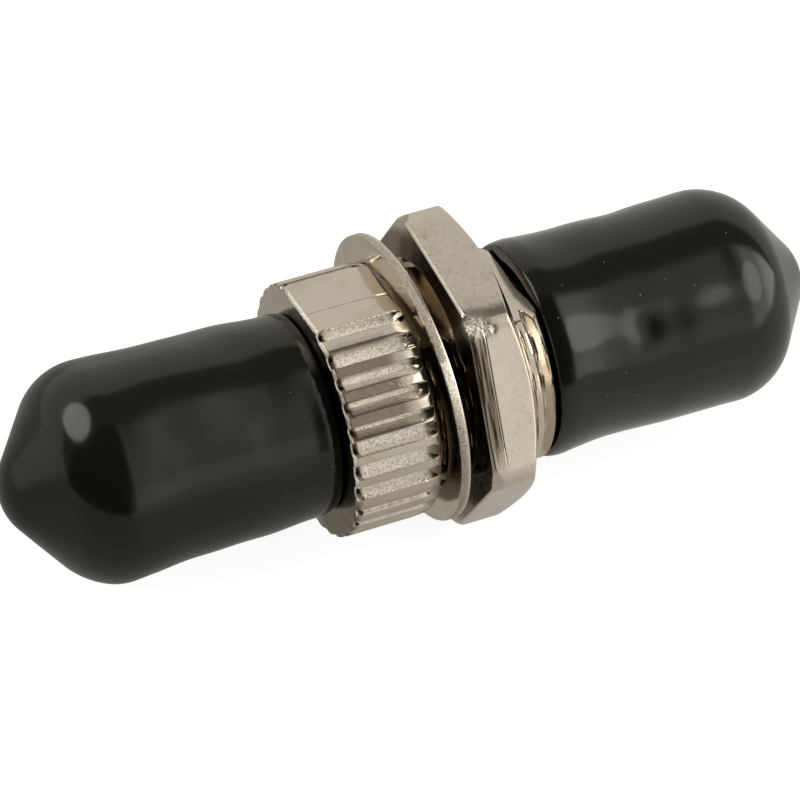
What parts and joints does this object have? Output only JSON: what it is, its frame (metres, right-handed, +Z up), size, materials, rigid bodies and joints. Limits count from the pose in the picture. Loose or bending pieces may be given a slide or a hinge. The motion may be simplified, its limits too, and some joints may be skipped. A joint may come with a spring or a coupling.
{
  "type": "fibre optic bulkhead adapter",
  "caption": "Capped bulkhead adapter that joins bayonet fibre plugs end to end in a split ceramic sleeve, with knurled collar, keyed threaded neck, washer and panel nut.",
  "frame": {"origin": "on the fibre axis, at the middle of the alignment sleeve, where the ferrules meet", "axes": "+X along the fibre axis from the collar side to the nut side, +Z up with a flat of the nut facing straight down, +Y away from the viewer"},
  "size_m": [0.0376, 0.0147, 0.013],
  "materials": {
    "plated_zinc": "nickel plate on die-cast zinc, bright on the turned faces, grainy in the knurl",
    "plated_steel": "bright nickel plate on pressed steel",
    "plated_brass": "bright nickel plate on turned brass, finely pitted",
    "turned_brass": "turned brass",
    "zirconia": "polished white ceramic",
    "black_vinyl": "glossy dip-moulded vinyl, slightly uneven"
  },
  "bodies": {
    "adapter_body": {"housing": "plated_zinc", "alignment_sleeve": "zirconia", "sleeve_retainer": "turned_brass"},
    "washer": {"panel_washer": "plated_steel"},
    "nut": {"hex_nut": "plated_brass"},
    "front_cap": {"front_dust_cap": "black_vinyl"},
    "rear_cap": {"rear_dust_cap": "black_vinyl"}
  },
  "joints": [
    {"name": "nut_turn", "type": "hinge", "parent": "adapter_body", "child": "washer", "pos_m": [0, 0, 0], "axis": [1, 0, 0], "range_deg": [-296, 850]},
    {"name": "nut_travel", "type": "slide", "parent": "washer", "child": "nut", "axis": [1, 0, 0], "range_m": [-0.00065, 0.00187]},
    {"name": "front_cap_pull", "type": "slide", "parent": "adapter_body", "child": "front_cap", "axis": [-1, 0, 0], "range_m": [0, 0.016]},
    {"name": "rear_cap_pull", "type": "slide", "parent": "adapter_body", "child": "rear_cap", "axis": [1, 0, 0], "range_m": [0, 0.016]}
  ],
  "couplings": [
    {"joint": "nut_turn", "follows": "nut_travel", "rad_per_m": 7915.8}
  ]
}
